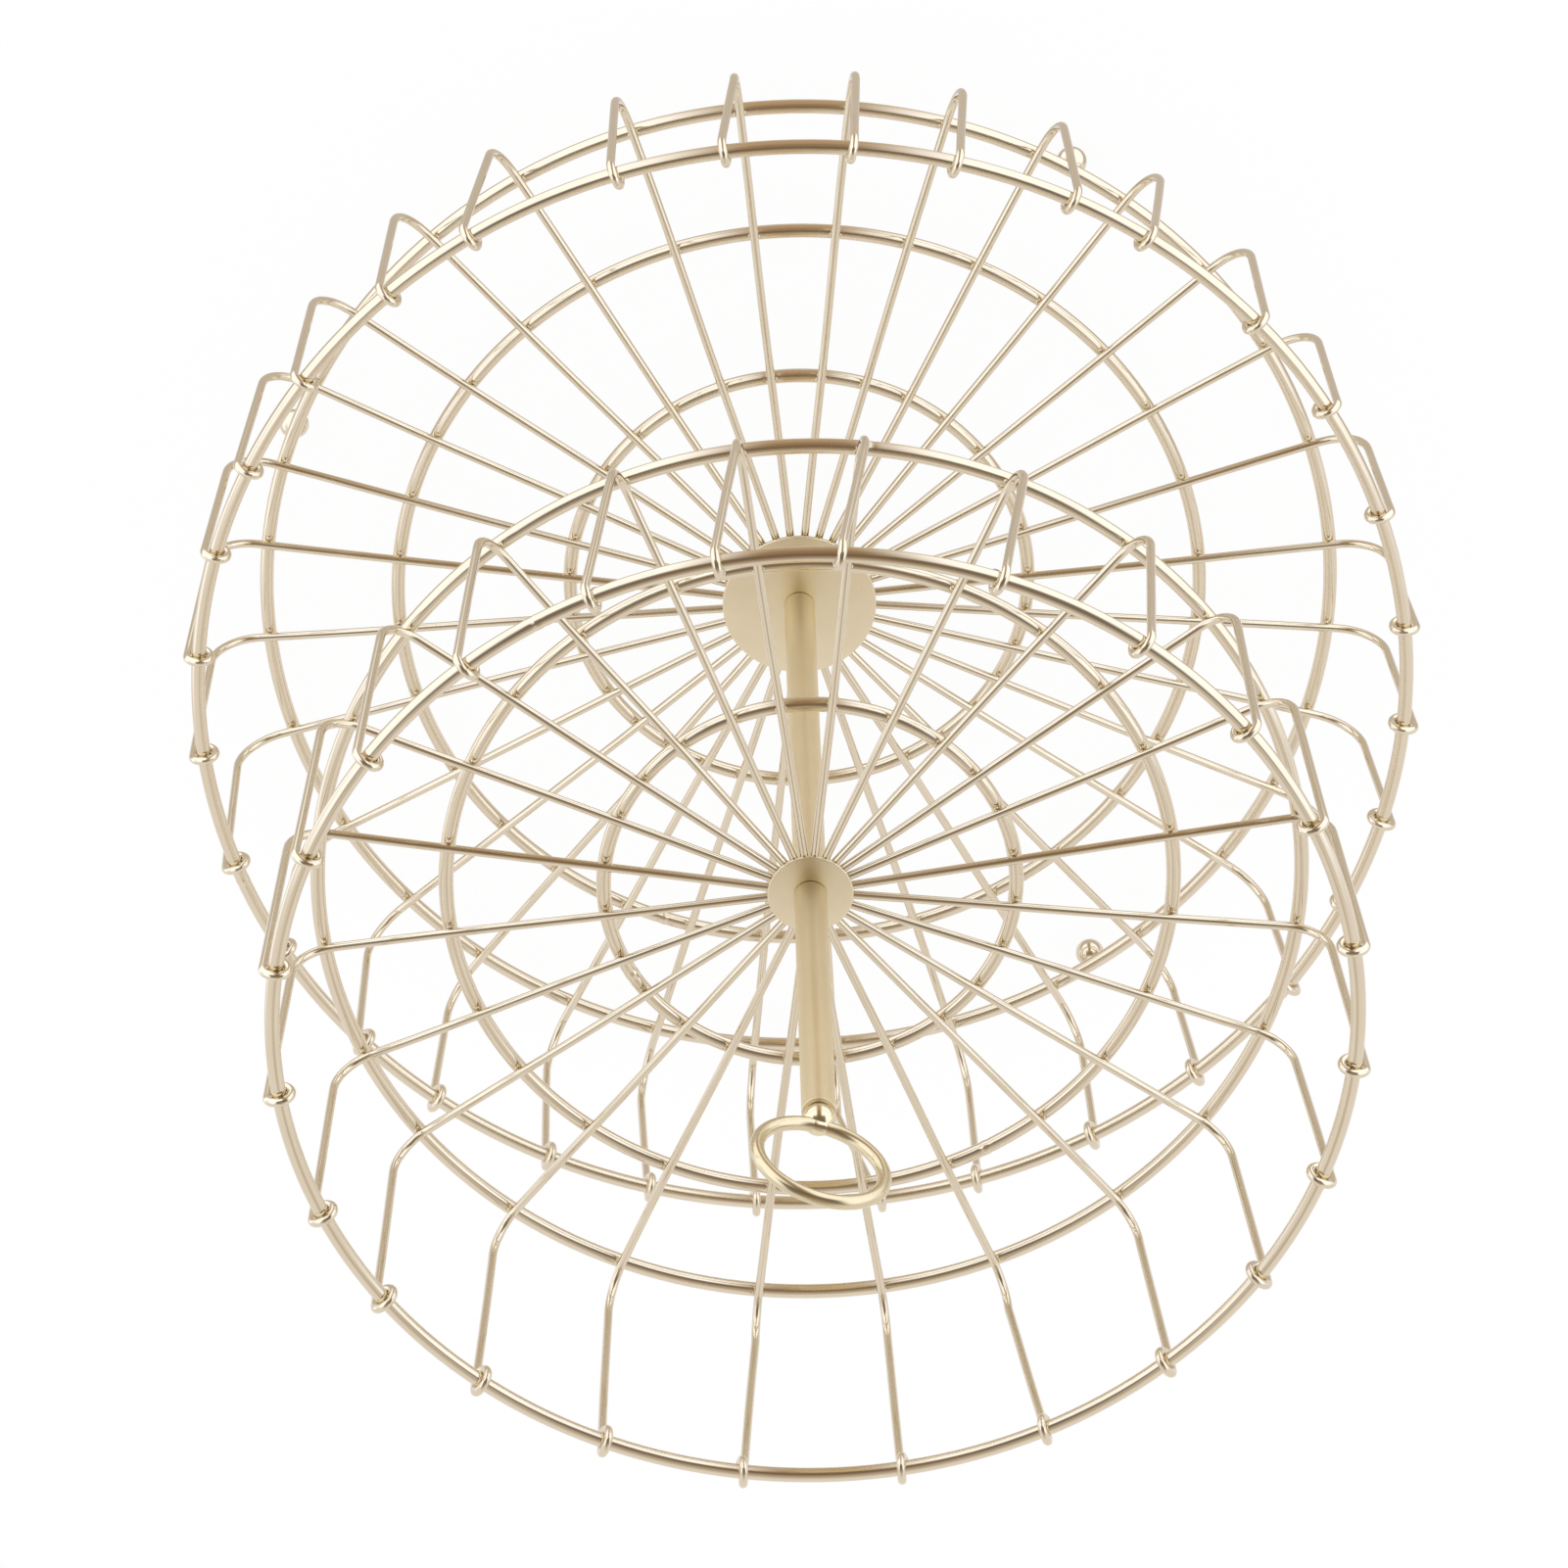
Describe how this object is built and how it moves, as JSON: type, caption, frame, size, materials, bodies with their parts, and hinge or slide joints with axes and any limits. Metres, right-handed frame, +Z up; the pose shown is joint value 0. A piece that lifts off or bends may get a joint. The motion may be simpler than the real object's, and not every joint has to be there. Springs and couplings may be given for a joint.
{
  "type": "two-tier wire fruit basket",
  "caption": "Round two-tier wire basket in pale gold: open baskets of radial wires on a central post, with a ring handle and ball feet.",
  "frame": {"origin": "on the post's axis, at the level of the flats under the feet", "axes": "+Z up along the post; +X and +Y in the plane of the table, with the gap between the first and the last spoke of each tier across +X"},
  "size_m": [0.3079, 0.3078, 0.2892],
  "materials": {
    "satin_gold_wire": "satin",
    "brushed_gold_post": "brushed satin",
    "polished_gold": "polished",
    "zinc_screw": "zinc plated"
  },
  "bodies": {
    "basket": {"base_screw": "zinc_screw", "base_washer": "zinc_screw", "foot_ball_1": "satin_gold_wire", "foot_ball_2": "satin_gold_wire", "foot_ball_3": "satin_gold_wire", "lower_base_ring": "satin_gold_wire", "lower_hub_plate": "satin_gold_wire", "lower_inner_ring": "satin_gold_wire", "lower_middle_ring": "satin_gold_wire", "lower_post": "brushed_gold_post", "lower_rim_ring": "satin_gold_wire", "lower_spoke_01": "satin_gold_wire", "lower_spoke_02": "satin_gold_wire", "lower_spoke_03": "satin_gold_wire", "lower_spoke_04": "satin_gold_wire", "lower_spoke_05": "satin_gold_wire", "lower_spoke_06": "satin_gold_wire", "lower_spoke_07": "satin_gold_wire", "lower_spoke_08": "satin_gold_wire", "lower_spoke_09": "satin_gold_wire", "lower_spoke_10": "satin_gold_wire", "lower_spoke_11": "satin_gold_wire", "lower_spoke_12": "satin_gold_wire", "lower_spoke_13": "satin_gold_wire", "lower_spoke_14": "satin_gold_wire", "lower_spoke_15": "satin_gold_wire", "lower_spoke_16": "satin_gold_wire", "lower_spoke_17": "satin_gold_wire", "lower_spoke_18": "satin_gold_wire", "lower_spoke_19": "satin_gold_wire", "lower_spoke_20": "satin_gold_wire", "lower_spoke_21": "satin_gold_wire", "lower_spoke_22": "satin_gold_wire", "lower_spoke_23": "satin_gold_wire", "lower_spoke_24": "satin_gold_wire", "lower_spoke_25": "satin_gold_wire", "lower_spoke_26": "satin_gold_wire", "lower_spoke_27": "satin_gold_wire", "lower_spoke_28": "satin_gold_wire", "lower_spoke_29": "satin_gold_wire", "lower_spoke_30": "satin_gold_wire", "lower_spoke_31": "satin_gold_wire", "lower_spoke_32": "satin_gold_wire", "upper_base_ring": "satin_gold_wire", "upper_hub_and_spokes": "satin_gold_wire", "upper_inner_ring": "satin_gold_wire", "upper_middle_ring": "satin_gold_wire", "upper_post": "brushed_gold_post", "upper_rim_ring": "satin_gold_wire"},
    "handle": {"finial_ball": "polished_gold", "handle_ring": "polished_gold"}
  },
  "joints": [
    {"name": "handle_turn", "type": "hinge", "parent": "basket", "child": "handle", "pos_m": [0, 0, 0.2532], "axis": [0, 0, 1], "range_deg": [0, 360]}
  ]
}
